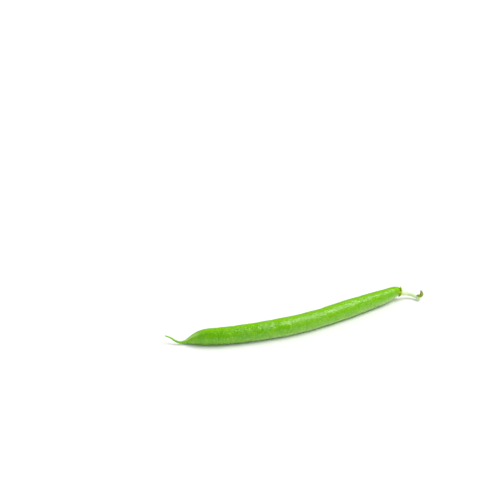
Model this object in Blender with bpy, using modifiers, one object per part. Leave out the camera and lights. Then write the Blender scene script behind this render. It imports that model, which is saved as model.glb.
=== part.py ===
"""A green bean as picked, lying on its side: a long pod with its thin tail, the dried calyx
round the pod's other end, and the short arched stem with its torn heel and the heel's small knob.

Metres, +Z up. The surface that the bean lies on is z = 0. +X runs from the tail to the stem,
and the pod bows towards -Y. The origin is under the middle of the whole bean's box.
"""

import math

import bmesh
import bpy
from mathutils import Vector

MM = 0.001

# The pod's main sections, from the tail's tip to the stem end, in millimetres:
# x and y in plan, height of the centre, and radius.
POD_SECTIONS = (
    (-69.5, 10.0, 4.30, 0.26),
    (-67.0, 9.1, 3.10, 0.34),
    (-65.1, 7.3, 1.85, 0.44),
    (-63.3, 6.0, 1.20, 0.56),
    (-60.7, 5.2, 1.35, 0.92),
    (-58.1, 4.55, 1.98, 2.06),
    (-55.7, 3.5, 2.90, 2.98),
    (-53.4, 2.5, 3.55, 3.62),
    (-50.1, 1.1, 3.92, 4.04),
    (-42.2, -1.5, 4.15, 4.30),
    (-27.3, -4.3, 4.36, 4.50),
    (-9.3, -5.7, 4.50, 4.65),
    (5.9, -4.6, 4.40, 4.55),
    (24.2, -1.4, 4.42, 4.57),
    (41.5, 2.1, 4.30, 3.98),
    (50.3, 3.9, 4.40, 3.42),
    (55.1, 5.1, 4.55, 2.92),
    (57.1, 5.4, 4.66, 2.40),
    (57.9, 5.4, 4.64, 1.78),
    (58.4, 5.3, 4.62, 1.10),
)
POD_STEPS_PER_MM = 0.72
TAIL_STEPS_PER_MM = 1.6
TAIL_END_X = -54.0

# Cross-section, as shares of the local radius, with angles in degrees from the upper suture.
# The lean turns the sutures from upright towards +Y.
SECTION_SIDES = 36
SUTURE_CROWDING = 0.6
SECTION_OVAL = 0.015
SUTURE_DEPTH = 0.048
SUTURE_HALF_WIDTH = 4.5
SHOULDER_RISE = 0.014
SHOULDER_ANGLE = 15.0
SHOULDER_HALF_WIDTH = 8.0
LOWER_SUTURE_SHARE = 0.7
SUTURE_LEAN = math.radians(-16.0)

# The seeds raise the pod's skin a little, one after another along it. The swelling is a share
# of the radius, and the fade is the power that shapes how it dies away towards both ends.
SEED_PITCH = 12.6 * MM
FIRST_SEED = 22.0 * MM
LAST_SEED = 112.0 * MM
SEED_SWELLING = 0.016
SEED_FADE = 0.5

# The calyx is a thin cup on its own axis, x, which leads from the pod's end to the stem.
# Its profile is the inside, as distance along the axis and radius, from the closed end out.
# What is past RIM_X is drawn out into the lobes.
CALYX_PLACE = (58.70, 4.46, 4.06)
CALYX_AXIS = (0.85, -0.38, -0.36)
CALYX_WALL = 0.6 * MM
CALYX_SIDES = 40
CALYX_PROFILE = (
    (0.55, 0.00),
    (0.55, 0.65),
    (0.50, 1.05),
    (0.36, 1.40),
    (0.10, 1.68),
    (0.00, 1.76),
    (-0.10, 1.83),
)
RIM_X = 0.10
RIM_REACH = 0.20

# Each lobe: its angle from the top, its half width in degrees, how far it reaches in
# millimetres, and the share of that which goes outwards instead of back over the pod.
LOBES = (
    (8, 40, 1.45, 0.82),
    (80, 34, 0.45, 0.85),
    (146, 32, 0.25, 0.80),
    (212, 34, 0.30, 0.90),
    (284, 36, 0.60, 0.95),
)
LOBE_POINT = 0.8

# The stem arches down from the calyx. The torn heel stands up at its end, with a small knob
# on the heel's side: x, y, z, radius.
STEM_SECTIONS = (
    (60.20, 4.00, 3.26, 0.95),
    (61.02, 3.90, 3.05, 0.90),
    (63.26, 3.86, 2.55, 0.84),
    (65.08, 2.60, 2.00, 0.80),
    (66.35, 0.74, 1.50, 0.80),
    (66.75, -0.93, 1.15, 0.82),
    (66.71, -1.71, 1.00, 0.70),
)
HEEL_SECTIONS = (
    (66.70, -1.61, 1.25, 0.60),
    (67.08, -1.30, 1.90, 0.62),
    (67.91, -1.04, 2.60, 0.85),
    (68.56, -0.69, 3.35, 0.95),
    (68.79, -0.11, 4.20, 0.72),
    (68.69, 0.72, 5.00, 0.28),
)
KNOB_SECTIONS = (
    (67.41, -1.39, 2.40, 0.55),
    (67.08, -0.43, 2.60, 0.74),
    (66.51, -0.16, 2.65, 0.72),
    (66.17, -0.13, 2.65, 0.45),
)
STEM_STEPS_PER_MM = 2.0
STEM_SIDES_RESOLUTION = 3

# The slab that trims the pod where it rests.
CUTTER_SIZE = (200 * MM, 100 * MM, 4 * MM)

# Points nearer to each other than WELD become one. A calyx point whose share of the lobes'
# growth is under NO_GROWTH stays where it is. FEWEST_STEPS is for the shortest stretch of a curve.
WELD = 0.01 * MM
NO_GROWTH = 0.01
FEWEST_STEPS = 2

# Each finish: its colour and its roughness.
POD_SKIN = ((0.18, 0.47, 0.03), 0.42)
DRY_CALYX = ((0.23, 0.24, 0.05), 0.75)
PALE_STEM = ((0.55, 0.70, 0.26), 0.55)


def clear_scene():
    for obj in list(bpy.data.objects):
        bpy.data.objects.remove(obj)


def add_collection(name):
    collection = bpy.data.collections.new(name)
    bpy.context.scene.collection.children.link(collection)
    return collection


def plain_material(name, colour, roughness):
    material = bpy.data.materials.new(name)
    material.use_nodes = True
    shader = material.node_tree.nodes["Principled BSDF"]
    shader.inputs["Base Color"].default_value = (*colour, 1.0)
    shader.inputs["Roughness"].default_value = roughness
    shader.inputs["Metallic"].default_value = 0.0
    return material


def smooth_between(before, start, end, after, share):
    """A point on the Catmull-Rom curve from start to end, all four given as equal tuples."""
    s, s2, s3 = share, share**2, share**3
    return tuple(
        0.5 * (2 * b + (c - a) * s + (2 * a - 5 * b + 4 * c - d) * s2 + (3 * b - a - 3 * c + d) * s3)
        for a, b, c, d in zip(before, start, end, after)
    )


def smooth_sections(sections, steps_per_mm):
    """Sections at close, even steps along a smooth curve through the main ones, in metres."""
    ends = [sections[0], *sections, sections[-1]]
    made = []
    for before, start, end, after in zip(ends, ends[1:], ends[2:], ends[3:]):
        gap = (Vector(end[:3]) - Vector(start[:3])).length
        steps = max(FEWEST_STEPS, round(gap * steps_per_mm(start)))
        made += [smooth_between(before, start, end, after, i / steps) for i in range(steps)]
    made.append(sections[-1])
    return [tuple(value * MM for value in section) for section in made]


def swell_with_seeds(sections):
    """Raises the radius over each seed, by a wave along the pod that fades out at its ends."""
    swollen, along = [], 0.0
    for i, (x, y, z, radius) in enumerate(sections):
        if i:
            along += (Vector((x, y, z)) - Vector(sections[i - 1][:3])).length
        rise = 0.0
        if FIRST_SEED < along < LAST_SEED:
            fade = math.sin(math.pi * (along - FIRST_SEED) / (LAST_SEED - FIRST_SEED)) ** SEED_FADE
            rise = SEED_SWELLING * fade * math.cos(2 * math.pi * (along - FIRST_SEED) / SEED_PITCH)
        swollen.append((x, y, z, radius * (1 + rise)))
    return swollen


def bump(angle, centre, half_width):
    return math.exp(-(((angle - centre) / half_width) ** 2))


def section_radius(angle):
    """The pod's outline at an angle in degrees from the upper suture, as a share of its radius."""
    from_upper = abs((angle + 180) % 360 - 180)
    from_lower = 180 - from_upper
    outline = 1 + SECTION_OVAL * math.cos(math.radians(2 * angle))
    for distance, share in ((from_upper, 1.0), (from_lower, LOWER_SUTURE_SHARE)):
        outline -= share * SUTURE_DEPTH * bump(distance, 0, SUTURE_HALF_WIDTH)
        outline += share * SHOULDER_RISE * bump(distance, SHOULDER_ANGLE, SHOULDER_HALF_WIDTH)
    return outline


def section_curve(collection):
    """The pod's cross-section at a radius of 1, with its points crowded towards the sutures."""
    data = bpy.data.curves.new("pod_section", "CURVE")
    data.dimensions = "2D"
    spline = data.splines.new("POLY")
    spline.points.add(SECTION_SIDES - 1)
    spline.use_cyclic_u = True
    for i, point in enumerate(spline.points):
        share = i / SECTION_SIDES
        turn = 2 * math.pi * share - SUTURE_CROWDING / 2 * math.sin(4 * math.pi * share)
        radius = section_radius(math.degrees(turn))
        point.co = (radius * math.sin(turn), radius * math.cos(turn), 0, 1)
    section = bpy.data.objects.new("pod_section", data)
    section.hide_render = True
    section.display_type = "WIRE"
    collection.objects.link(section)
    return section


def path_curve(name, sections, collection):
    """A curve through the sections' centres, with their radii, for a section or a bevel to follow."""
    data = bpy.data.curves.new(name, "CURVE")
    data.dimensions = "3D"
    data.twist_mode = "Z_UP"
    data.use_fill_caps = True
    spline = data.splines.new("POLY")
    spline.points.add(len(sections) - 1)
    for point, (x, y, z, radius) in zip(spline.points, sections):
        point.co = (x, y, z, 1)
        point.radius = radius
    path = bpy.data.objects.new(name, data)
    collection.objects.link(path)
    return path


def mesh_from_curve(path, collection):
    """Turns the curve object into a closed mesh object of the same name, its caps welded on."""
    bpy.context.view_layer.update()
    graph = bpy.context.evaluated_depsgraph_get()
    mesh = bpy.data.meshes.new_from_object(path.evaluated_get(graph))
    name, place = path.name, path.matrix_world.copy()
    bpy.data.objects.remove(path)
    shape = bmesh.new()
    shape.from_mesh(mesh)
    bmesh.ops.remove_doubles(shape, verts=shape.verts, dist=WELD)
    bmesh.ops.recalc_face_normals(shape, faces=shape.faces)
    shape.to_mesh(mesh)
    shape.free()
    made = bpy.data.objects.new(name, mesh)
    made.matrix_world = place
    collection.objects.link(made)
    return made


def pod_steps(section):
    return TAIL_STEPS_PER_MM if section[0] < TAIL_END_X else POD_STEPS_PER_MM


def add_pod(collection, helpers):
    """The pod with its tail, swept along its bow and cut flat where it rests."""
    sections = swell_with_seeds(smooth_sections(POD_SECTIONS, pod_steps))
    path = path_curve("pod", sections, collection)
    path.data.bevel_mode = "OBJECT"
    path.data.bevel_object = section_curve(helpers)
    for point in path.data.splines[0].points:
        point.tilt = SUTURE_LEAN
    pod = mesh_from_curve(path, collection)
    pod.data.materials.clear()
    pod.data.materials.append(plain_material("pod_skin", *POD_SKIN))
    rest = pod.modifiers.new("resting_flat", "BOOLEAN")
    rest.operation = "DIFFERENCE"
    rest.solver = "EXACT"
    rest.object = add_floor_cutter(helpers)
    pod.data.shade_smooth()
    return pod


def add_floor_cutter(helpers):
    """A slab under z = 0, which trims a narrow flat along the pod's underside."""
    bpy.ops.mesh.primitive_cube_add(size=1, location=(0, 0, -CUTTER_SIZE[2] / 2))
    slab = bpy.context.object
    slab.name = "floor_cutter"
    slab.scale = CUTTER_SIZE
    slab.hide_render = True
    slab.display_type = "WIRE"
    for owner in list(slab.users_collection):
        owner.objects.unlink(slab)
    helpers.objects.link(slab)
    return slab


def lobe_at(turn):
    """How far the rim grows at an angle in degrees from the top, and the outward share of it."""
    growth, flare = 0, 0
    for centre, half_width, length, outward in LOBES:
        aside = abs((turn - centre + 180) % 360 - 180) / half_width
        if aside < 1:
            growth, flare = length * (1 - aside) ** LOBE_POINT, outward
    return growth * MM, flare


def calyx_cup():
    """The calyx's inside: its profile spun about its axis, and its rim drawn out into lobes."""
    cup = bmesh.new()
    points = [cup.verts.new((x * MM, 0, radius * MM)) for x, radius in CALYX_PROFILE]
    edges = [cup.edges.new(pair) for pair in zip(points, points[1:])]
    bmesh.ops.spin(cup, geom=points + edges, axis=(1, 0, 0), steps=CALYX_SIDES, angle=2 * math.pi)
    bmesh.ops.remove_doubles(cup, verts=cup.verts, dist=WELD)
    for vert in cup.verts:
        share = (RIM_X * MM - vert.co.x) / (RIM_REACH * MM)
        if share > NO_GROWTH:
            outward = Vector((0, vert.co.y, vert.co.z)).normalized()
            growth, flare = lobe_at(math.degrees(math.atan2(outward.y, outward.z)))
            vert.co += share * growth * flare * outward
            vert.co.x -= share * growth * math.sqrt(1 - flare**2)
    bmesh.ops.recalc_face_normals(cup, faces=cup.faces)
    return cup


def add_calyx(collection):
    """The dried calyx, a thin cup with five short lobes, over the pod's end."""
    mesh = bpy.data.meshes.new("calyx")
    cup = calyx_cup()
    cup.to_mesh(mesh)
    cup.free()
    calyx = bpy.data.objects.new("calyx", mesh)
    collection.objects.link(calyx)
    calyx.location = Vector(CALYX_PLACE) * MM
    calyx.rotation_euler = Vector(CALYX_AXIS).to_track_quat("X", "Z").to_euler()
    wall = calyx.modifiers.new("wall", "SOLIDIFY")
    wall.thickness = CALYX_WALL
    wall.offset = 1.0
    mesh.materials.append(plain_material("dry_calyx", *DRY_CALYX))
    mesh.shade_smooth()
    return calyx


def round_tube(name, sections, collection):
    """A closed tube of round section through the main sections."""
    path = path_curve(name, smooth_sections(sections, lambda _: STEM_STEPS_PER_MM), collection)
    path.data.bevel_depth = 1.0
    path.data.bevel_resolution = STEM_SIDES_RESOLUTION
    return mesh_from_curve(path, collection)


def add_stem(collection, helpers):
    """The stem, which droops from the calyx, with the torn heel grown onto its end."""
    stem = round_tube("stem", STEM_SECTIONS, collection)
    for name, sections in (("heel_part", HEEL_SECTIONS), ("knob_part", KNOB_SECTIONS)):
        part = round_tube(name, sections, helpers)
        part.hide_render = True
        part.display_type = "WIRE"
        grown = stem.modifiers.new(name, "BOOLEAN")
        grown.operation = "UNION"
        grown.solver = "EXACT"
        grown.use_self = True
        grown.object = part
    stem.data.materials.clear()
    stem.data.materials.append(plain_material("pale_stem", *PALE_STEM))
    stem.data.shade_smooth()
    return stem


def corners(objects):
    """The lowest and highest corner of the evaluated objects, in world space."""
    bpy.context.view_layer.update()
    graph = bpy.context.evaluated_depsgraph_get()
    points = []
    for obj in objects:
        shown = obj.evaluated_get(graph)
        points += [shown.matrix_world @ v.co for v in shown.to_mesh().vertices]
        shown.to_mesh_clear()
    return [Vector(pick(p[axis] for p in points) for axis in range(3)) for pick in (min, max)]


def centre_over_origin(objects, helpers):
    """Slides everything in plan, so that the origin is under the middle of the whole box."""
    low, high = corners(objects)
    middle = (low + high) / 2
    for obj in [*objects, *helpers.objects]:
        obj.location.x -= middle.x
        obj.location.y -= middle.y


def main():
    clear_scene()
    bean = add_collection("green_bean")
    helpers = add_collection("helpers")
    pieces = [add_pod(bean, helpers), add_calyx(bean), add_stem(bean, helpers)]
    centre_over_origin(pieces, helpers)


main()
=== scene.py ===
"""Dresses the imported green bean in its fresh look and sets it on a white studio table.

The pod is extruded straight, pressed along its two sutures and swollen over its seeds, and then
bent along its route. The calyx and the stem are modelled in their places. Each finish is a
procedural material in real sizes, and the camera stands where the photograph was taken from.
"""

import logging
import math
import random
from collections.abc import Callable, Iterator, Sequence
from dataclasses import astuple, dataclass
from enum import Enum

import bmesh
import bpy
from mathutils import Matrix, Vector


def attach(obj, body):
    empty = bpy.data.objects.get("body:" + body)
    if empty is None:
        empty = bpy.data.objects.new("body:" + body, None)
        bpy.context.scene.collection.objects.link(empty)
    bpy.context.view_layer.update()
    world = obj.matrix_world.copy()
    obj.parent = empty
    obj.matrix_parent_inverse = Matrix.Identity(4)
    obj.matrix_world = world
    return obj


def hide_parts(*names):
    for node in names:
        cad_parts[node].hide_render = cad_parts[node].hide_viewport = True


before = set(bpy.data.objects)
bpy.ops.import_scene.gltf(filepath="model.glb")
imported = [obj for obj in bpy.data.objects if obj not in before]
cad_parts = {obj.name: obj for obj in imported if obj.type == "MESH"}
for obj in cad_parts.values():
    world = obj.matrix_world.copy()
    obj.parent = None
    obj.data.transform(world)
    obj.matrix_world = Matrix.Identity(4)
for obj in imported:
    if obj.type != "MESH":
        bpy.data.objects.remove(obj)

MM = 0.001
WELD = 0.002 * MM
HALF_TURN = 180
FULL_TURN = 360
QUARTER_TURN = 90
LOG = logging.getLogger("green_bean")
Triple = tuple[float, float, float]
Colour = Triple
Band = tuple[float, float]
Socket = bpy.types.NodeSocket
Number = Socket | float


class Node(Enum):
    """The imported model's nodes."""

    POD = "pod"
    CALYX = "calyx"
    STEM = "stem"


class Slot(Enum):
    """The record's material slots."""

    POD = "pod_skin"
    CALYX = "dry_calyx"
    STEM = "pale_stem"


def turn_of(place: Vector) -> float:
    """Finds a place's angle about the X axis, in degrees from the top towards +Y."""
    return math.degrees(math.atan2(place.y, place.z))


def apart(turn: float, other: float) -> float:
    """Finds how far two angles are apart, all in degrees."""
    return abs((turn - other + HALF_TURN) % FULL_TURN - HALF_TURN)


class Suture(Enum):
    """The pod's two long seams, by their angle from the top towards +Y."""

    UPPER = 18.0
    LOWER = 198.0

    def aside(self, place: Vector) -> float:
        """Finds how many degrees round the pod a place is from the seam."""
        return apart(turn_of(place), self.value)


class Fill(Enum):
    """How a starting ring is filled: by one face or by a fan of triangles."""

    FACE = "NGON"
    FAN = "TRIFAN"


class Sum(Enum):
    """The kinds of sum that the finishes work out."""

    ADD = "ADD"
    SUBTRACT = "SUBTRACT"
    MULTIPLY = "MULTIPLY"
    DIVIDE = "DIVIDE"
    ROOT = "SQRT"
    SIZE = "ABSOLUTE"


@dataclass(frozen=True)
class Lumps:
    """Soft noise that moves a piece's skin: its lumps' size and their height, in millimetres."""

    name: str
    size: float
    height: float


@dataclass(frozen=True)
class Marks:
    """Marks drawn by soft noise: their size in millimetres, and how strong they are.

    The strength goes from start, where the noise is low or under, to end, where it is high or over.
    """

    size: float
    low: float
    high: float
    start: float = 0.0
    end: float = 1.0
    layers: float = 2
    rough: float = 0.5


@dataclass(frozen=True)
class Bumps:
    """Fine unevenness of a surface or a line: its bumps' size and their rise, in millimetres."""

    size: float
    rise: float
    layers: float = 2
    rough: float = 0.5


@dataclass(frozen=True)
class Flesh:
    """Light under the surface: its share, its reach in each colour and its scale in millimetres."""

    share: float
    reach: Triple
    scale: float


def deselect_all() -> None:
    """Leaves nothing selected, so that the next operator acts on the new piece alone."""
    if bpy.context.object and bpy.context.object.mode != "OBJECT":
        bpy.ops.object.mode_set(mode="OBJECT")
    bpy.ops.object.select_all(action="DESELECT")


def focus(piece: bpy.types.Object) -> None:
    """Makes a piece the only selected and the active object.

    Args:
        piece: The object.
    """
    deselect_all()
    piece.select_set(True)
    bpy.context.view_layer.objects.active = piece


def clear(shape: bmesh.types.BMesh) -> None:
    """Deselects all parts of a shape."""
    for part in (*shape.verts, *shape.edges, *shape.faces):
        part.select = False


def select_points(piece: bpy.types.Object, wanted: Callable[[Vector], bool]) -> None:
    """Selects, in edit mode, the points that are wanted and what lies wholly between them.

    Args:
        piece: The mesh object, in edit mode.
        wanted: Says of a point's place whether it is selected.
    """
    shape = bmesh.from_edit_mesh(piece.data)
    clear(shape)
    for vert in shape.verts:
        vert.select = wanted(vert.co)
    shape.select_mode = {"VERT"}
    shape.select_flush_mode()
    bmesh.update_edit_mesh(piece.data)


def select_edges(piece: bpy.types.Object, wanted: Callable[[Vector, Vector], bool]) -> None:
    """Selects, in edit mode, the edges that are wanted.

    Args:
        piece: The mesh object, in edit mode.
        wanted: Says of an edge's two ends whether it is selected.
    """
    bpy.ops.mesh.select_mode(type="EDGE")
    shape = bmesh.from_edit_mesh(piece.data)
    clear(shape)
    for edge in shape.edges:
        edge.select = wanted(edge.verts[0].co, edge.verts[1].co)
    bmesh.update_edit_mesh(piece.data)


def scale_round(x: float, wider: float, higher: float) -> None:
    """Scales what is selected about the X axis, at a place along it in millimetres."""
    bpy.ops.transform.resize(value=(1, wider, higher), center_override=(x * MM, 0, 0))


def start_ring(
    name: str, sides: int, radius: float, x: float = 0.0, fill: Fill = Fill.FACE
) -> bpy.types.Object:
    """Adds a filled ring that faces along X, and selects it in edit mode.

    Args:
        name: The new object's name.
        sides: How many sides the ring has.
        radius: Its radius in millimetres.
        x: Where it stands along X, in millimetres.
        fill: How it is filled.

    Returns:
        The new object, in edit mode.
    """
    deselect_all()
    bpy.ops.mesh.primitive_circle_add(
        vertices=sides,
        radius=radius * MM,
        fill_type=fill.value,
        location=(x * MM, 0, 0),
        rotation=(0, math.pi / 2, 0),
    )
    ring = bpy.context.object
    ring.name = name
    bpy.ops.object.transform_apply(location=True, rotation=True, scale=True)
    bpy.ops.object.mode_set(mode="EDIT")
    bpy.ops.mesh.select_all(action="SELECT")
    return ring


def draw_on(start: float, end: float, wider: float, higher: float) -> None:
    """Extrudes what is selected along X and scales its new end.

    Args:
        start: Where it stands, in millimetres.
        end: Where its new end stands, in millimetres.
        wider: The new end's width as a share of the old one's.
        higher: The new end's height as a share of the old one's.
    """
    move = {"value": ((end - start) * MM, 0, 0)}
    bpy.ops.mesh.extrude_region_move(TRANSFORM_OT_translate=move)
    scale_round(end, wider, higher)


def leave_turned_out() -> None:
    """Turns all faces of the form in edit mode outwards, and leaves that mode."""
    bpy.ops.mesh.select_all(action="SELECT")
    bpy.ops.mesh.normals_make_consistent(inside=False)
    bpy.ops.object.mode_set(mode="OBJECT")


def refine(piece: bpy.types.Object, levels: int) -> None:
    """Adds an unapplied Subdivision Surface that divides this often."""
    finer = piece.modifiers.new("refine", "SUBSURF")
    finer.levels = finer.render_levels = levels


def dress(piece: bpy.types.Object, material: bpy.types.Material) -> None:
    """Makes a material the piece's only one."""
    piece.data.materials.clear()
    piece.data.materials.append(material)


def apply_modifiers(piece: bpy.types.Object) -> None:
    """Applies a piece's modifiers in their order.

    Args:
        piece: The object.
    """
    focus(piece)
    for modifier in list(piece.modifiers):
        bpy.ops.object.modifier_apply(modifier=modifier.name)


def close_skin(piece: bpy.types.Object) -> None:
    """Merges a piece's doubled points, turns its faces outwards and smooths its shading.

    Args:
        piece: The mesh object.
    """
    focus(piece)
    bpy.ops.object.mode_set(mode="EDIT")
    bpy.ops.mesh.select_all(action="SELECT")
    bpy.ops.mesh.remove_doubles(threshold=WELD)
    leave_turned_out()
    bpy.ops.object.shade_smooth()


def displace(piece: bpy.types.Object, rows: Sequence[Lumps], group: str = "") -> None:
    """Adds unapplied Displace modifiers that move the skin by soft noise.

    Args:
        piece: The mesh object.
        rows: The lumps, one modifier for each.
        group: A vertex group that limits them, if any.
    """
    for lumps in rows:
        texture = bpy.data.textures.new(lumps.name, type="CLOUDS")
        texture.noise_scale = lumps.size * MM
        texture.noise_depth = 2
        mover = piece.modifiers.new(lumps.name, "DISPLACE")
        mover.texture = texture
        mover.texture_coords = "LOCAL"
        mover.strength = lumps.height * MM
        mover.mid_level = 0.5
        mover.vertex_group = group


@dataclass(frozen=True)
class Station:
    """One place on a route: its centre and the radius of what grows there, in millimetres."""

    x: float
    y: float
    z: float
    radius: float

    @property
    def centre(self) -> Vector:
        """The station's centre in metres."""
        return Vector((self.x, self.y, self.z)) * MM


@dataclass(frozen=True)
class Route:
    """A smooth route through a few stations, which a straight form is bent along."""

    stations: tuple[Station, ...]
    pieces: int = 16

    @classmethod
    def through(cls, *rows: tuple[float, float, float, float]) -> "Route":
        """Makes a route through rows of x, y, z and radius, in millimetres."""
        return cls(tuple(Station(*row) for row in rows))

    def samples(self) -> list[Station]:
        """Gives close stations along the smooth curve through the main ones.

        Returns:
            The stations in order, the first and last of the main ones included.
        """
        ends = [self.stations[0], *self.stations, self.stations[-1]]
        made = []
        for four in zip(ends, ends[1:], ends[2:], ends[3:]):
            made += [self._between(four, step / self.pieces) for step in range(self.pieces)]
        return [*made, self.stations[-1]]

    def _between(self, four: tuple[Station, ...], share: float) -> Station:
        """Finds a place on the Catmull-Rom curve from the second station to the third.

        Args:
            four: Four stations in a row.
            share: How far along, from 0 to 1.

        Returns:
            The station there.
        """
        made = []
        for a, b, c, d in zip(*(astuple(station) for station in four)):
            square = 2 * a - 5 * b + 4 * c - d
            cube = 3 * b - a - 3 * c + d
            made.append(0.5 * (2 * b + (c - a) * share + square * share**2 + cube * share**3))
        return Station(*made)

    def distances(self) -> list[tuple[float, float]]:
        """Measures along the route.

        Returns:
            The distance from the start and the radius at each sample, in millimetres.
        """
        samples, along, made = self.samples(), 0.0, []
        for before, here in zip([samples[0], *samples], samples):
            along += (here.centre - before.centre).length / MM
            made.append((along, here.radius))
        return made

    @property
    def length(self) -> float:
        """The route's length in millimetres."""
        return self.distances()[-1][0]

    def radius_at(self, along: float) -> float:
        """Finds the radius at a distance from the start.

        Args:
            along: The distance in millimetres.

        Returns:
            The radius in millimetres.
        """
        known = self.distances()
        for (start, thin), (end, thick) in zip(known, known[1:]):
            if along <= end:
                share = (along - start) / (end - start) if end > start else 0
                return thin + (thick - thin) * share
        return known[-1][1]

    def bend(self, piece: bpy.types.Object) -> None:
        """Bends a form that lies straight along X from the origin onto this route.

        Args:
            piece: The mesh object.
        """
        data = bpy.data.curves.new(f"{piece.name}_route", "CURVE")
        data.dimensions = "3D"
        data.twist_mode = "Z_UP"
        spline = data.splines.new("POLY")
        samples = self.samples()
        spline.points.add(len(samples) - 1)
        for point, station in zip(spline.points, samples):
            point.co = (*station.centre, 1)
        guide = bpy.data.objects.new(data.name, data)
        bpy.context.scene.collection.objects.link(guide)
        follow = piece.modifiers.new("follow_route", "CURVE")
        follow.object = guide
        follow.deform_axis = "POS_X"
        apply_modifiers(piece)
        bpy.data.objects.remove(guide)
        bpy.data.curves.remove(data)


class Graph:
    """The node tree of one new material, with short calls for the nodes that finishes share."""

    def __init__(self, name: str) -> None:
        """Starts a material of this name.

        Args:
            name: The material's name.
        """
        self.material = bpy.data.materials.new(name)
        self.material.use_nodes = True
        self.tree = self.material.node_tree
        self.shader = self.tree.nodes["Principled BSDF"]

    def add(self, kind: str, **settings: object) -> bpy.types.Node:
        """Adds a node and sets its properties.

        Args:
            kind: The node's type.
            **settings: The node's own properties by name.

        Returns:
            The node.
        """
        node = self.tree.nodes.new(kind)
        for name, value in settings.items():
            setattr(node, name, value)
        return node

    def feed(self, socket: Socket, value: object) -> None:
        """Links an output to a socket, or sets the socket to a plain value.

        Args:
            socket: The input.
            value: The output or plain value.
        """
        if isinstance(value, Socket):
            self.tree.links.new(value, socket)
        else:
            socket.default_value = value

    def set(self, name: str, value: object) -> None:
        """Links or sets an input of the shader by its name."""
        self.feed(self.shader.inputs[name], value)

    def maths(self, operation: Sum, *values: Number) -> Socket:
        """Works out a number from one or two others.

        Args:
            operation: Which sum.
            *values: Numbers or outputs.

        Returns:
            The result's output.
        """
        node = self.add("ShaderNodeMath", operation=operation.value)
        for socket, value in zip(node.inputs, values):
            self.feed(socket, value)
        return node.outputs[0]

    def times(self, first: Number, second: Number) -> Socket:
        """Multiplies two numbers."""
        return self.maths(Sum.MULTIPLY, first, second)

    def plus(self, first: Number, second: Number) -> Socket:
        """Adds two numbers."""
        return self.maths(Sum.ADD, first, second)

    def minus(self, first: Number, second: Number) -> Socket:
        """Takes the second number from the first."""
        return self.maths(Sum.SUBTRACT, first, second)

    def step(
        self, value: Number, low: float, high: float, start: Number = 0, end: Number = 1
    ) -> Socket:
        """Turns a number smoothly from start, at low and under, to end, at high and over.

        Args:
            value: The number or output.
            low: Where the change begins.
            high: Where it is complete.
            start: The result before it.
            end: The result after it.

        Returns:
            The result's output.
        """
        node = self.add("ShaderNodeMapRange", interpolation_type="SMOOTHSTEP")
        names = ("Value", "From Min", "From Max", "To Min", "To Max")
        for name, given in zip(names, (value, low, high, start, end)):
            self.feed(node.inputs[name], given)
        return node.outputs["Result"]

    def fade(self, value: Number, band: Band, start: Number = 0, end: Number = 1) -> Socket:
        """Turns a length smoothly from start to end across a band in millimetres."""
        return self.step(value, band[0] * MM, band[1] * MM, start, end)

    def noise(self, place: Socket, kind: Marks | Bumps) -> Socket:
        """Adds soft noise.

        Args:
            place: The coordinates that it follows, in metres.
            kind: What it draws, with its size, its finer layers and their strength.

        Returns:
            The noise from 0 to 1.
        """
        node = self.add("ShaderNodeTexNoise")
        names = ("Vector", "Scale", "Detail", "Roughness")
        for name, given in zip(names, (place, 1 / (kind.size * MM), kind.layers, kind.rough)):
            self.feed(node.inputs[name], given)
        return node.outputs["Fac"]

    def strength(self, noise: Socket, marks: Marks, end: Socket | None = None) -> Socket:
        """Turns noise into the strength of its marks, whose full strength may vary."""
        full = marks.end if end is None else end
        return self.step(noise, marks.low, marks.high, marks.start, full)

    def marks(self, place: Socket, marks: Marks, end: Socket | None = None) -> Socket:
        """Draws marks at a place and gives their strength there."""
        return self.strength(self.noise(place, marks), marks, end)

    def ragged(self, noise: Socket, reach: float) -> Socket:
        """Turns noise into shifts to and fro, over a reach in millimetres."""
        return self.times(self.minus(noise, 0.5), reach * MM)

    def ramp(self, factor: Socket, stops: tuple[tuple[float, Colour], ...]) -> Socket:
        """Blends through a row of colours.

        Args:
            factor: Where on the ramp, from 0 to 1.
            stops: Places and their colours.

        Returns:
            The colour's output.
        """
        node = self.add("ShaderNodeValToRGB")
        self.feed(node.inputs["Fac"], factor)
        band = node.color_ramp
        while len(band.elements) < len(stops):
            band.elements.new(1.0)
        for element, (place, colour) in zip(band.elements, stops):
            element.position = place
            element.color = (*colour, 1)
        return node.outputs["Color"]

    def mix(self, share: Number, first: Socket | Colour, second: Socket | Colour) -> Socket:
        """Mixes two colours.

        Args:
            share: The second colour's share.
            first: A colour or output.
            second: A colour or output.

        Returns:
            The mixed colour's output.
        """
        node = self.add("ShaderNodeMix", data_type="RGBA")
        for place, value in zip(("Factor_Float", "A_Color", "B_Color"), (share, first, second)):
            socket = next(found for found in node.inputs if found.identifier == place)
            self.feed(socket, (*value, 1) if isinstance(value, tuple) else value)
        return next(found for found in node.outputs if found.identifier == "Result_Color")

    def bump(self, height: Socket, rise: float, under: Socket | None = None) -> Socket:
        """Adds relief to the shading.

        Args:
            height: The height's output, from 0 to 1.
            rise: What a height of 1 stands for, in millimetres.
            under: Relief that this lies on, if any.

        Returns:
            The relief's output, for the shader or for further relief.
        """
        node = self.add("ShaderNodeBump")
        self.feed(node.inputs["Strength"], 1.0)
        self.feed(node.inputs["Distance"], rise * MM)
        self.feed(node.inputs["Height"], height)
        if under is not None:
            self.feed(node.inputs["Normal"], under)
        return node.outputs["Normal"]

    def flesh(self, flesh: Flesh) -> None:
        """Lets light under the shader's surface.

        Args:
            flesh: How it spreads there.
        """
        self.set("Subsurface Weight", flesh.share)
        self.set("Subsurface Radius", flesh.reach)
        self.set("Subsurface Scale", flesh.scale * MM)

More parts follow.
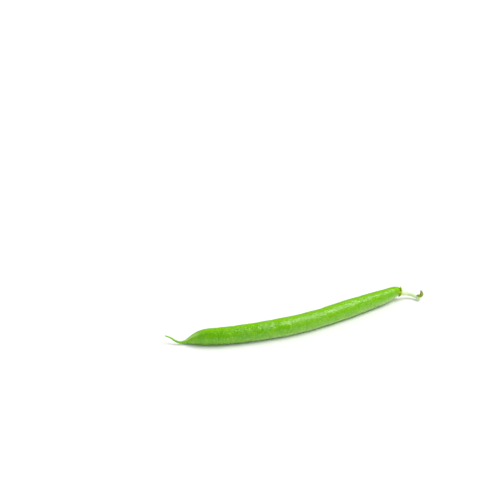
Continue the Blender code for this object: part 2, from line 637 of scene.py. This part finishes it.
    def split(self, vector: Socket) -> tuple[Socket, ...]:
        """Gives a vector's three parts.

        Args:
            vector: The vector's output.

        Returns:
            The outputs of its x, y and z.
        """
        node = self.add("ShaderNodeSeparateXYZ")
        self.feed(node.inputs[0], vector)
        return tuple(node.outputs)

    def stretched(self, vector: Socket, scale: Triple) -> Socket:
        """Scales coordinates, so that what reads them is drawn out where the scale is small.

        Args:
            vector: The coordinates.
            scale: The scale along x, y and z.

        Returns:
            The scaled coordinates.
        """
        node = self.add("ShaderNodeMapping")
        self.feed(node.inputs["Vector"], vector)
        self.feed(node.inputs["Scale"], scale)
        return node.outputs["Vector"]


@dataclass(frozen=True)
class Skin:
    """Where a place on the pod's skin lies, as outputs of the skin's tree in metres."""

    straight: Socket
    hatched: Socket
    along: Socket
    aside: Socket
    up: Socket
    across: Socket
    above: Socket
    radius: Socket


@dataclass(frozen=True)
class PodSkin:
    """The fresh waxy skin of the pod, which follows its length and its sutures.

    The colours come first, then each mark's share, and its width, height and reach along the pod
    in millimetres, and at the end the marks that noise draws. The flank's lean and width are shares
    of the radius.
    """

    length: float
    tail: Colour = (0.24, 0.57, 0.01)
    neck: Colour = (0.18, 0.50, 0.004)
    tip_end: Colour = (0.12, 0.415, 0.0)
    middle: Colour = (0.155, 0.455, 0.0)
    stem_end: Colour = (0.15, 0.455, 0.0)
    # Painted light: the top band along the upper suture, lit brighter from above.
    rim: Colour = (0.23, 0.58, 0.0)
    # Painted shade: the dark line in both suture grooves.
    groove: Colour = (0.05, 0.24, 0.002)
    pale: Colour = (0.30, 0.62, 0.015)
    # Painted reflection: the paler colour of the lower side, where the white table lights it.
    underside_reflection: Colour = (0.49, 0.77, 0.24)
    # Painted highlight: the pale streak on the shoulder of the tip end.
    flank: Colour = (0.50, 0.78, 0.24)
    freckle: Colour = (0.085, 0.35, 0.0)
    glint: Colour = (0.92, 1.0, 0.80)
    shine: float = 0.65
    rim_share: float = 0.8
    rim_width: Band = (1.4, 3.6)
    rim_height: Band = (0.0, 1.5)
    belly_share: float = 0.9
    belly_at_tail: float = 0.05
    belly_width: Band = (1.5, 4.6)
    belly_height: Band = (-2.5, 0.0)
    belly_start: Band = (25.0, 60.0)
    groove_share: float = 0.55
    groove_width: Band = (0.10, 0.42)
    groove_radius: Band = (1.2, 2.6)
    flank_share: float = 0.75
    flank_lean: float = -0.42
    flank_width: Band = (0.08, 0.30)
    flank_height: Band = (0.0, 0.4)
    flank_start: Band = (8.5, 11.0)
    flank_end: Band = (14.0, 21.0)
    fleck_change: Band = (30.0, 110.0)
    fleck_share: Band = (0.75, 0.4)
    hatching: Triple = (1.5, 0.75, 0.75)
    fibre_draw: Triple = (0.12, 1.0, 1.0)
    patches: Marks = Marks(5.0, 0.42, 0.68, 0.0, 0.25, 3, 0.55)
    grain: Marks = Marks(0.9, 0.45, 0.68, 0.0, 0.55, 3, 0.6)
    fibres: Marks = Marks(0.7, 0.5, 0.75, 0.0, 0.22)
    flecks: Marks = Marks(1.3, 0.54, 0.68, rough=0.6)
    belly_flecks: Marks = Marks(1.3, 0.42, 0.62, 1.0, 0.5, 3, 0.6)
    bloom: Marks = Marks(6.0, 0.35, 0.65, 0.15, 0.34)
    pores: Bumps = Bumps(0.6, 0.16, 3, 0.6)
    dimples: Bumps = Bumps(1.3, 0.32, 2, 0.55)
    flesh: Flesh = Flesh(0.06, (0.6, 1.0, 0.25), 1.2)

    def material(self) -> bpy.types.Material:
        """Builds the skin's material.

        Returns:
            The material.
        """
        graph = Graph("fresh_pod_skin")
        skin = self._places(graph)
        colour = self._mottled_green(graph, skin)
        colour = self._painted_light_along_sutures(graph, skin, colour)
        colour = self._shoulder_highlight(graph, skin, colour)
        graph.set("Base Color", colour)
        self._gloss(graph, skin)
        return graph.material

    def _places(self, graph: Graph) -> Skin:
        """Measures along the pod, round it and from the plane of its sutures.

        Args:
            graph: The material's tree.

        Returns:
            The outputs.
        """
        straight = graph.add("ShaderNodeAttribute", attribute_name="straight").outputs["Vector"]
        along, aside, up = graph.split(straight)
        lean = math.radians(Suture.UPPER.value)
        across = graph.minus(graph.times(aside, math.cos(lean)), graph.times(up, math.sin(lean)))
        above = graph.plus(graph.times(aside, math.sin(lean)), graph.times(up, math.cos(lean)))
        radius = graph.maths(Sum.ROOT, graph.plus(graph.times(aside, aside), graph.times(up, up)))
        across = graph.maths(Sum.SIZE, across)
        hatched = graph.stretched(straight, self.hatching)
        return Skin(straight, hatched, along, aside, up, across, above, radius)

    def _mottled_green(self, graph: Graph, skin: Skin) -> Socket:
        """Gives the green from the tail to the stem end, with patches, grain, fibres and flecks.

        Args:
            graph: The material's tree.
            skin: Where the place is.

        Returns:
            The skin's colour.
        """
        stops = (
            (0.0, self.tail),
            (0.07, self.neck),
            (0.14, self.tip_end),
            (0.32, self.tip_end),
            (0.5, self.middle),
            (0.8, self.stem_end),
            (1.0, self.stem_end),
        )
        colour = graph.ramp(graph.maths(Sum.DIVIDE, skin.along, self.length * MM), stops)
        drawn_out = graph.stretched(skin.straight, self.fibre_draw)
        share = graph.fade(skin.along, self.fleck_change, *self.fleck_share)
        colour = graph.mix(graph.marks(skin.straight, self.patches), colour, self.pale)
        colour = graph.mix(graph.marks(skin.hatched, self.grain), colour, self.pale)
        colour = graph.mix(graph.marks(drawn_out, self.fibres), colour, self.freckle)
        return graph.mix(graph.marks(skin.hatched, self.flecks, share), colour, self.freckle)

    def _painted_light_along_sutures(self, graph: Graph, skin: Skin, colour: Socket) -> Socket:
        """Paints light and shade along the sutures: the upper one's band, at the top, lighter as
        painted light from above, the band by the lower one paler as a painted reflection of the
        white table, and a thin line of painted shade in both grooves.

        Args:
            graph: The material's tree.
            skin: Where the place is.
            colour: The skin's colour so far.

        Returns:
            The skin's colour.
        """
        # Painted light: the band along the upper suture, at the top, is painted lighter as if lit
        # from above.
        near = graph.fade(skin.across, self.rim_width, self.rim_share, 0)
        rim = graph.times(near, graph.fade(skin.above, self.rim_height))
        colour = graph.mix(rim, colour, self.rim)
        # Painted reflection: the lower side is painted paler where the white table lights it,
        # broken up by flecks.
        near = graph.fade(skin.across, self.belly_width, self.belly_share, 0)
        belly = graph.times(near, graph.fade(skin.above, self.belly_height, 1, 0))
        grown = graph.fade(skin.along, self.belly_start, self.belly_at_tail, 1)
        belly = graph.times(graph.times(belly, grown), graph.marks(skin.hatched, self.belly_flecks))
        colour = graph.mix(belly, colour, self.underside_reflection)
        # Painted shade: a thin dark line along both suture grooves.
        line = graph.fade(skin.across, self.groove_width, self.groove_share, 0)
        line = graph.times(line, graph.fade(skin.radius, self.groove_radius))
        return graph.mix(line, colour, self.groove)

    def _shoulder_highlight(self, graph: Graph, skin: Skin, colour: Socket) -> Socket:
        """Draws a painted highlight: the pale streak that runs down the pod's shoulder into the
        tail.

        Args:
            graph: The material's tree.
            skin: Where the place is.
            colour: The skin's colour so far.

        Returns:
            The skin's colour.
        """
        lean = graph.maths(Sum.DIVIDE, skin.aside, skin.radius)
        off_centre = graph.maths(Sum.SIZE, graph.minus(lean, self.flank_lean))
        streak = graph.step(off_centre, *self.flank_width, self.flank_share, 0)
        streak = graph.times(streak, graph.fade(skin.up, self.flank_height))
        begun = graph.fade(skin.along, self.flank_start)
        reach = graph.times(begun, graph.fade(skin.along, self.flank_end, 1, 0))
        return graph.mix(graph.times(streak, reach), colour, self.flank)

    def _gloss(self, graph: Graph, skin: Skin) -> None:
        """Gives the skin its uneven satin sheen, from its roughness and fine relief.

        Args:
            graph: The material's tree.
            skin: Where the place is.
        """
        graph.set("Roughness", graph.marks(skin.straight, self.bloom))
        pores = graph.bump(graph.noise(skin.straight, self.pores), self.pores.rise)
        dimples = graph.noise(skin.straight, self.dimples)
        graph.set("Normal", graph.bump(dimples, self.dimples.rise, pores))
        graph.flesh(self.flesh)
        graph.set("Specular IOR Level", self.shine)
        graph.set("Specular Tint", (*self.glint, 1))


@dataclass(frozen=True)
class DriedLeaf:
    """The calyx's tissue: olive lobes scorched brown at their edges, on a still pale foot, and
    painted lighter at the top.

    The centre is in metres, and the other sizes are in millimetres.
    """

    centre: Vector
    axis: Vector
    olive: Colour = (0.33, 0.53, 0.0)
    straw: Colour = (0.36, 0.53, 0.008)
    brown: Colour = (0.27, 0.28, 0.015)
    # Painted light: the lighter colour of the calyx's top.
    tip: Colour = (0.42, 0.60, 0.01)
    foot: Colour = (0.60, 0.78, 0.36)
    shine: float = 0.3
    roughness: Band = (0.55, 0.8)
    dull_where: Band = (0.3, 0.7)
    tip_height: Band = (5.6, 6.4)
    low_height: Band = (4.2, 5.2)
    low_scorch: float = 0.22
    foot_place: Band = (0.30, 0.75)
    ragged: float = 0.7
    blotches: Marks = Marks(1.2, 0.4, 0.65, layers=3, rough=0.6)
    scorch: Marks = Marks(1.6, 0.58, 0.70, 0.0, 0.9, 3, 0.6)
    wrinkles: Bumps = Bumps(0.3, 0.06, 3, 0.65)
    flesh: Flesh = Flesh(0.1, (1.0, 0.2, 0.1), 0.5)

    def material(self) -> bpy.types.Material:
        """Builds the calyx's material.

        Returns:
            The material.
        """
        graph = Graph("dried_calyx_leaf")
        place = graph.add("ShaderNodeTexCoord").outputs["Object"]
        x, y, height = graph.split(place)
        blotches = graph.noise(place, self.blotches)
        colour = graph.mix(graph.strength(blotches, self.blotches), self.olive, self.straw)
        # Painted light: the calyx is painted lighter towards its top.
        colour = graph.mix(graph.fade(height, self.tip_height), colour, self.tip)
        low = graph.fade(height, self.low_height, self.low_scorch, 0)
        scorched = graph.plus(graph.noise(place, self.scorch), low)
        colour = graph.mix(graph.strength(scorched, self.scorch), colour, self.brown)
        along = graph.plus(graph.times(x, self.axis.x), graph.times(y, self.axis.y))
        along = graph.plus(along, graph.times(height, self.axis.z))
        beyond = graph.minus(along, self.axis.dot(self.centre))
        beyond = graph.plus(beyond, graph.ragged(blotches, self.ragged))
        colour = graph.mix(graph.fade(beyond, self.foot_place), colour, self.foot)
        graph.set("Base Color", colour)
        graph.set("Roughness", graph.step(blotches, *self.dull_where, *self.roughness))
        graph.set("Specular IOR Level", self.shine)
        graph.set("Normal", graph.bump(graph.noise(place, self.wrinkles), self.wrinkles.rise))
        graph.flesh(self.flesh)
        return graph.material


@dataclass(frozen=True)
class PaleStalk:
    """The stem's pale stalk, which goes olive and then brown at its torn heel.

    Sizes are in millimetres: the heel blends in over a height and over a line across the stalk's
    end, and it goes brown over a further x.
    """

    heel_height: Band
    heel_line: Band
    brown_x: Band
    pale: Colour = (0.64, 0.83, 0.44)
    green: Colour = (0.50, 0.73, 0.27)
    olive: Colour = (0.22, 0.36, 0.006)
    brown: Colour = (0.28, 0.30, 0.055)
    slant: float = 0.5
    roughness: Band = (0.42, 0.75)
    streak_rise: float = 0.05
    streak_draw: Triple = (0.25, 1.0, 1.0)
    streaks: Marks = Marks(0.5, 0.45, 0.75, 0.0, 0.5, 3, 0.6)
    stain: Bumps = Bumps(0.9, 1.4, 3, 0.6)
    flesh: Flesh = Flesh(0.25, (0.8, 1.0, 0.5), 1.0)

    def material(self) -> bpy.types.Material:
        """Builds the stem's material.

        Returns:
            The material.
        """
        graph = Graph("pale_stalk_and_heel")
        place = graph.add("ShaderNodeTexCoord").outputs["Object"]
        x, y, z = graph.split(place)
        wobble = graph.ragged(graph.noise(place, self.stain), self.stain.rise)
        across = graph.minus(x, graph.times(y, self.slant))
        above = graph.fade(graph.plus(z, wobble), self.heel_height)
        torn = graph.times(graph.fade(across, self.heel_line), above)
        browned = graph.fade(graph.plus(x, wobble), self.brown_x)
        streaks = graph.noise(graph.stretched(place, self.streak_draw), self.streaks)
        colour = graph.mix(graph.strength(streaks, self.streaks), self.pale, self.green)
        colour = graph.mix(torn, colour, graph.mix(browned, self.olive, self.brown))
        graph.set("Base Color", colour)
        graph.set("Roughness", graph.step(torn, 0, 1, *self.roughness))
        graph.set("Normal", graph.bump(streaks, self.streak_rise))
        graph.flesh(self.flesh)
        return graph.material


@dataclass(frozen=True)
class Tabletop:
    """The plain white table."""

    white: Colour = (0.86, 0.86, 0.86)
    roughness: float = 0.9
    shine: float = 0.1

    def material(self) -> bpy.types.Material:
        """Builds the table's material.

        Returns:
            The material.
        """
        graph = Graph("white_table")
        graph.set("Base Color", (*self.white, 1))
        graph.set("Roughness", self.roughness)
        graph.set("Specular IOR Level", self.shine)
        return graph.material


@dataclass
class Pod:
    """The long pod with its tail.

    Sizes are in millimetres, angles in degrees round the pod and the suture's band in per cent of
    the faces beside it. Groove, shoulder and swelling are shares of the radius.
    """

    route: Route
    sides: int = 20
    body_step: float = 2.8
    end_step: float = 1.05
    tail_part: float = 21.0
    stem_part: float = 5.0
    suture_band: float = 42.0
    groove: float = 0.915
    groove_angle: float = 2.0
    shoulder: float = 1.012
    shoulder_angles: Band = (4.0, 12.0)
    least_length: float = 0.1
    seed_pitch: float = 12.4
    pitch_spread: Band = (0.8, 1.2)
    seed_draw: int = 5
    first_seed: float = 25.0
    last_seed: float = 113.0
    seed_swelling: float = 0.026
    swelling_height: float = 0.35
    swelling_fade: float = 0.5
    refinement: int = 3
    fleshy_radius: float = 4.2
    fleshy_fade: float = 1.5
    lumps: tuple[Lumps, ...] = (
        Lumps("soft_lumps", 7.0, 0.3),
        Lumps("small_dents", 2.2, 0.13),
        Lumps("fine_skin", 0.7, 0.05),
    )

    def build(self) -> bpy.types.Object:
        """Models the pod and sets it in its place.

        Returns:
            The finished mesh object.
        """
        pod = self._straight_form()
        for suture in Suture:
            self._press(pod, suture)
        refine(pod, self.refinement)
        apply_modifiers(pod)
        self._remember_straight_places(pod)
        self.route.bend(pod)
        displace(pod, self.lumps, "fleshy")
        apply_modifiers(pod)
        close_skin(pod)
        self._settle(pod)
        dress(pod, PodSkin(self.route.length).material())
        return pod

    def _rings(self) -> Iterator[Triple]:
        """Swells the pod over its seeds, which lie at slightly uneven distances.

        Yields:
            Each ring's distance from the tail's tip, its height and its width as radii.
        """
        along, length = 0.0, self.route.length
        draw = random.Random(self.seed_draw)
        phase = 0.0
        while along < length:
            radius = self.route.radius_at(along)
            swelling = 0.0
            if self.first_seed < along < self.last_seed:
                share = (along - self.first_seed) / (self.last_seed - self.first_seed)
                full = self.seed_swelling * math.sin(math.pi * share) ** self.swelling_fade
                swelling = full * math.cos(phase)
            yield along, radius * (1 + self.swelling_height * swelling), radius * (1 + swelling)
            near_end = along < self.tail_part or along > length - self.stem_part
            step = self.end_step if near_end else self.body_step
            if along > self.first_seed:
                spread = draw.uniform(*self.pitch_spread)
                phase += 2 * math.pi * step / self.seed_pitch * spread
            along += step
        yield length, self.route.radius_at(length), self.route.radius_at(length)

    def _straight_form(self) -> bpy.types.Object:
        """Extrudes a ring straight along X from the tail's tip to the stem end.

        Returns:
            The coarse closed form.
        """
        rings = list(self._rings())
        pod = start_ring("green_pod", self.sides, rings[0][1])
        for (start, last_high, last_wide), (along, high, wide) in zip(rings, rings[1:]):
            draw_on(start, along, wide / last_wide, high / last_high)
        leave_turned_out()
        return pod

    def _press(self, pod: bpy.types.Object, suture: Suture) -> None:
        """Bevels one long seam into a narrow band, then presses its middle in as a groove.

        Args:
            pod: The straight form.
            suture: Which seam.
        """
        inner, outer = self.shoulder_angles
        bpy.ops.object.mode_set(mode="EDIT")
        select_edges(pod, lambda a, b: self._on_seam(a, b, suture))
        bpy.ops.mesh.bevel(
            offset_type="PERCENT", offset_pct=self.suture_band, segments=2, affect="EDGES"
        )
        bpy.ops.mesh.select_mode(type="VERT")
        select_points(pod, lambda place: suture.aside(place) < self.groove_angle)
        scale_round(0, self.groove, self.groove)
        select_points(pod, lambda place: inner < suture.aside(place) < outer)
        scale_round(0, self.shoulder, self.shoulder)
        bpy.ops.object.mode_set(mode="OBJECT")

    def _on_seam(self, first: Vector, second: Vector, suture: Suture) -> bool:
        """Says whether an edge between two places runs along a seam."""
        aside = max(suture.aside(first), suture.aside(second))
        return aside < self.groove_angle and abs(first.x - second.x) > self.least_length * MM

    def _remember_straight_places(self, pod: bpy.types.Object) -> None:
        """Stores each point's place on the straight pod, and how fleshy the pod is there.

        Args:
            pod: The straight form.
        """
        places = [0.0] * (3 * len(pod.data.vertices))
        pod.data.vertices.foreach_get("co", places)
        kept = pod.data.attributes.new("straight", "FLOAT_VECTOR", "POINT")
        kept.data.foreach_set("vector", places)
        fleshy = pod.vertex_groups.new(name="fleshy")
        for vert in pod.data.vertices:
            thickness = math.hypot(vert.co.y, vert.co.z) / (self.fleshy_radius * MM)
            fleshy.add([vert.index], min(1.0, thickness) ** self.fleshy_fade, "REPLACE")

    @staticmethod
    def _settle(pod: bpy.types.Object) -> None:
        """Presses what would be under the table flat onto it.

        Args:
            pod: The pod in its place.
        """
        bpy.ops.object.mode_set(mode="EDIT")
        select_points(pod, lambda place: place.z < 0)
        bpy.ops.transform.resize(value=(1, 1, 0), center_override=(0, 0, 0))
        bpy.ops.object.mode_set(mode="OBJECT")


@dataclass(frozen=True)
class Lobe:
    """One lobe of the calyx.

    Its turn from the top and its half width are in degrees and its reach in millimetres. Outward
    is the share of the reach that goes out from the pod instead of along it.
    """

    turn: float
    half_width: float
    reach: float
    outward: float


@dataclass
class Calyx:
    """The dried cup over the pod's stem end. Sizes are in millimetres."""

    place: Station
    axis: Triple
    profile: tuple[tuple[float, float], ...]
    lobes: tuple[Lobe, ...]
    sides: int = 48
    wall: float = 0.5
    foot_edge: float = 0.9
    lobe_rings: int = 3
    lobe_point: float = 0.8
    refinement: int = 2
    wrinkles: tuple[Lumps, ...] = (
        Lumps("curled_leaf", 1.3, 0.35),
        Lumps("dry_wrinkles", 0.45, 0.12),
    )

    def build(self) -> bpy.types.Object:
        """Models the calyx and sets it in its place.

        Returns:
            The finished mesh object.
        """
        calyx = self._cup()
        self._draw_lobes(calyx)
        close_skin(calyx)
        wall = calyx.modifiers.new("wall", "SOLIDIFY")
        wall.thickness = self.wall * MM
        wall.offset = 1.0
        refine(calyx, self.refinement)
        displace(calyx, self.wrinkles)
        apply_modifiers(calyx)
        calyx.location = self.place.centre
        calyx.rotation_euler = Vector(self.axis).to_track_quat("X", "Z").to_euler()
        bpy.ops.object.transform_apply(location=True, rotation=True, scale=True)
        bpy.ops.object.shade_smooth()
        dress(calyx, DriedLeaf(self.place.centre, Vector(self.axis).normalized()).material())
        return calyx

    def _cup(self) -> bpy.types.Object:
        """Extrudes the cup's inside from its closed foot out to its rim.

        Returns:
            The open surface, about the X axis.
        """
        (x, radius), *rest = self.profile
        calyx = start_ring("calyx_cup", self.sides, radius, x, Fill.FAN)
        inside = self.foot_edge * radius * MM
        select_edges(calyx, lambda a, b: min(math.hypot(a.y, a.z), math.hypot(b.y, b.z)) > inside)
        for next_x, next_radius in rest:
            move = {"value": ((next_x - x) * MM, 0, 0)}
            bpy.ops.mesh.extrude_edges_move(TRANSFORM_OT_translate=move)
            grow = next_radius / radius
            scale_round(next_x, grow, grow)
            x, radius = next_x, next_radius
        bpy.ops.object.mode_set(mode="OBJECT")
        return calyx

    def _draw_lobes(self, calyx: bpy.types.Object) -> None:
        """Draws the rim out into lobes, point by point.

        Args:
            calyx: The open cup.
        """
        first, last = self.profile[-self.lobe_rings][0], self.profile[-1][0]
        rim_x = first * MM
        reach_x = (first - last) * MM
        for vert in calyx.data.vertices:
            share = (rim_x - vert.co.x) / reach_x
            if vert.co.x < rim_x - WELD:
                outward = Vector((0, vert.co.y, vert.co.z)).normalized()
                growth, flare = self._growth_at(turn_of(outward))
                vert.co += outward * share * growth * flare
                vert.co.x -= share * growth * math.sqrt(1 - flare**2)

    def _growth_at(self, turn: float) -> tuple[float, float]:
        """Finds how far the rim grows at an angle from the top.

        Args:
            turn: The angle in degrees.

        Returns:
            The growth in metres, and the share of it that goes outwards.
        """
        for lobe in self.lobes:
            aside = apart(turn, lobe.turn) / lobe.half_width
            if aside < 1:
                return lobe.reach * (1 - aside) ** self.lobe_point * MM, lobe.outward
        return 0.0, 0.0


@dataclass
class Stem:
    """The stalk and the torn heel at its end, grown into one. Sizes are in millimetres."""

    stalk: Route
    heel: Route
    knob: Route
    sides: int = 12
    ring_step: float = 0.45
    fewest_rings: int = 4
    voxel: float = 0.11
    softening: float = 0.6
    soften_times: int = 6
    heel_rise: Band = (0.2, 0.6)
    heel_line: Band = (65.7, 66.1)
    brown_x: Band = (67.2, 68.4)
    lumps: tuple[Lumps, ...] = (
        Lumps("uneven_stalk", 1.6, 0.22),
        Lumps("stalk_skin", 0.5, 0.05),
    )

    def build(self) -> bpy.types.Object:
        """Models the stem and sets it in its place.

        Returns:
            The finished mesh object.
        """
        stem = self._tube("stem_stalk", self.stalk)
        grown = [self._tube("stem_heel", self.heel), self._tube("stem_knob", self.knob)]
        focus(stem)
        for part in grown:
            part.select_set(True)
        bpy.ops.object.join()
        blend = stem.modifiers.new("grow_together", "REMESH")
        blend.mode = "VOXEL"
        blend.voxel_size = self.voxel * MM
        soften = stem.modifiers.new("soften", "SMOOTH")
        soften.factor = self.softening
        soften.iterations = self.soften_times
        displace(stem, self.lumps)
        apply_modifiers(stem)
        bpy.ops.object.shade_smooth()
        start, end = (self.heel.stations[1].z + rise for rise in self.heel_rise)
        dress(stem, PaleStalk((start, end), self.heel_line, self.brown_x).material())
        return stem

    def _tube(self, name: str, route: Route) -> bpy.types.Object:
        """Extrudes a ring straight along X, closes it and bends it along a route.

        Args:
            name: The new object's name.
            route: The route, with its radii.

        Returns:
            The closed tube.
        """
        steps = max(self.fewest_rings, round(route.length / self.ring_step))
        places = [route.length * i / steps for i in range(steps + 1)]
        radius = route.radius_at(0)
        tube = start_ring(name, self.sides, radius)
        for start, along in zip(places, places[1:]):
            grow = route.radius_at(along) / radius
            radius = route.radius_at(along)
            draw_on(start, along, grow, grow)
        leave_turned_out()
        refine(tube, 1)
        route.bend(tube)
        return tube


@dataclass
class Bean:
    """The whole bean, its pieces in their packed places."""

    pod: Pod
    calyx: Calyx
    stem: Stem

    def build(self) -> None:
        """Builds each piece, hands it to its body and hides the imported node that it stands for.
        """
        pieces = (
            (self.pod.build(), Node.POD, Slot.POD),
            (self.calyx.build(), Node.CALYX, Slot.CALYX),
            (self.stem.build(), Node.STEM, Slot.STEM),
        )
        for piece, node, slot in pieces:
            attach(piece, "root")
            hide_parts(node.value)
            piece.data.calc_loop_triangles()
            triangles = len(piece.data.loop_triangles)
            LOG.info("%s stands for %s, %d triangles", piece.name, node.value, triangles)


@dataclass(frozen=True)
class Softbox:
    """A large soft lamp that faces the bean: its place and two sides in metres, and its watts."""

    name: str
    place: Triple
    sides: tuple[float, float]
    watts: float

    def hang(self) -> None:
        """Hangs the lamp."""
        data = bpy.data.lights.new(self.name, "AREA")
        data.shape = "RECTANGLE"
        data.size, data.size_y = self.sides
        data.energy = self.watts
        lamp = bpy.data.objects.new(self.name, data)
        lamp.location = self.place
        lamp.rotation_euler = (-Vector(self.place)).to_track_quat("-Z", "Y").to_euler()
        bpy.context.scene.collection.objects.link(lamp)


@dataclass
class Studio:
    """The white table, soft light and camera. Sizes are in metres, angles in degrees."""

    aim: Triple = (-0.0041, 0.0026, 0.0046)
    aim_pixel: tuple[float, float] = (293.0, 316.0)
    image_side: float = 500.0
    distance: float = 0.59
    azimuth: float = -23.8
    pitch: float = 25.0
    lens: float = 85.0
    sensor: float = 36.0
    sight: Band = (0.01, 20.0)
    table_side: float = 6.0
    glow: float = 0.76
    softbox: Softbox = Softbox("overhead_softbox", (1.8, -0.45, 3.0), (2.6, 0.55), 83.0)

    def build(self) -> None:
        """Sets up the table, the lights, the background and the camera."""
        self._table()
        self._background()
        self.softbox.hang()
        self._camera()
        view = bpy.context.scene.view_settings
        view.view_transform = "Standard"
        LOG.info("studio: table, background, softbox and camera")

    def _table(self) -> None:
        """Lays the plain white table."""
        deselect_all()
        bpy.ops.mesh.primitive_plane_add(size=self.table_side)
        table = bpy.context.object
        table.name = "white_tabletop"
        table.data.materials.append(Tabletop().material())

    def _background(self) -> None:
        """Surrounds the scene with even white light."""
        world = bpy.data.worlds.new("white_surround")
        bpy.context.scene.world = world
        world.use_nodes = True
        glow = world.node_tree.nodes["Background"]
        glow.inputs["Color"].default_value = (1, 1, 1, 1)
        glow.inputs["Strength"].default_value = self.glow
        world.cycles_visibility.glossy = False

    def _camera(self) -> None:
        """Stands the camera so that the aim falls on its pixel of the picture."""
        data = bpy.data.cameras.new("photo_camera")
        data.lens = self.lens
        data.sensor_width = self.sensor
        data.clip_start, data.clip_end = self.sight
        camera = bpy.data.objects.new("photo_camera", data)
        tilted = Matrix.Rotation(math.radians(QUARTER_TURN - self.pitch), 3, "X")
        turned = Matrix.Rotation(math.radians(self.azimuth), 3, "Z") @ tilted
        focal = self.image_side * self.lens / self.sensor
        aside = (self.aim_pixel[0] - self.image_side / 2) / focal
        down = (self.aim_pixel[1] - self.image_side / 2) / focal
        sight = Vector((aside, -down, -1)) * self.distance
        camera.location = Vector(self.aim) - turned @ sight
        camera.rotation_euler = turned.to_euler()
        bpy.context.scene.collection.objects.link(camera)
        bpy.context.scene.camera = camera


POD_ROUTE = Route.through(
    (-69.5, 10.0, 4.30, 0.32),
    (-67.0, 9.1, 3.10, 0.42),
    (-65.1, 7.3, 1.85, 0.52),
    (-63.3, 6.0, 1.20, 0.62),
    (-60.7, 5.2, 1.35, 0.92),
    (-58.1, 4.55, 1.98, 2.06),
    (-55.7, 3.5, 2.90, 2.98),
    (-53.4, 2.5, 3.55, 3.62),
    (-50.1, 1.1, 3.92, 4.04),
    (-42.2, -1.5, 4.15, 4.30),
    (-27.3, -4.3, 4.36, 4.50),
    (-9.3, -5.7, 4.50, 4.65),
    (5.9, -4.6, 4.40, 4.55),
    (24.2, -1.4, 4.42, 4.57),
    (41.5, 2.1, 4.30, 3.98),
    (50.3, 3.9, 4.40, 3.42),
    (55.1, 5.1, 4.55, 2.92),
    (57.1, 5.3, 4.62, 2.52),
    (58.0, 5.1, 4.50, 2.22),
    (58.6, 4.8, 4.32, 1.85),
    (58.9, 4.6, 4.20, 1.30),
)

CALYX = Calyx(
    place=Station(58.70, 4.46, 4.06, 0),
    axis=(0.84, -0.46, -0.29),
    profile=((0.55, 0.65), (0.50, 1.05), (0.36, 1.40), (0.10, 1.68), (0.00, 1.76), (-0.10, 1.83)),
    lobes=(
        Lobe(4, 50, 1.70, 0.70),
        Lobe(80, 34, 0.55, 0.75),
        Lobe(146, 32, 0.45, 0.65),
        Lobe(212, 34, 0.60, 0.60),
        Lobe(296, 50, 1.90, 0.34),
    ),
)

STALK_ROUTE = Route.through(
    (58.9, 4.35, 3.85, 1.15),
    (59.6, 4.1, 3.48, 1.10),
    (60.2, 4.0, 3.26, 1.06),
    (61.02, 3.90, 3.05, 1.04),
    (63.26, 3.86, 2.55, 1.00),
    (65.08, 2.60, 2.00, 0.96),
    (66.35, 0.74, 1.50, 0.90),
    (66.75, -0.93, 1.15, 0.88),
    (66.71, -1.71, 1.00, 0.70),
)

HEEL_ROUTE = Route.through(
    (66.70, -1.61, 1.25, 0.60),
    (67.08, -1.30, 1.90, 0.62),
    (67.91, -1.04, 2.60, 0.90),
    (68.56, -0.69, 3.35, 1.08),
    (68.79, -0.11, 4.20, 0.76),
    (68.69, 0.72, 5.00, 0.28),
)

KNOB_ROUTE = Route.through(
    (67.41, -1.39, 2.40, 0.55),
    (67.08, -0.43, 2.60, 0.74),
    (66.51, -0.16, 2.65, 0.72),
    (66.17, -0.13, 2.65, 0.45),
)


def main() -> None:
    """Builds the studio and the bean."""
    logging.basicConfig(level=logging.INFO, format="%(message)s")
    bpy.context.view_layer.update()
    Studio().build()
    Bean(Pod(POD_ROUTE), CALYX, Stem(STALK_ROUTE, HEEL_ROUTE, KNOB_ROUTE)).build()


if __name__ == "__main__":
    main()
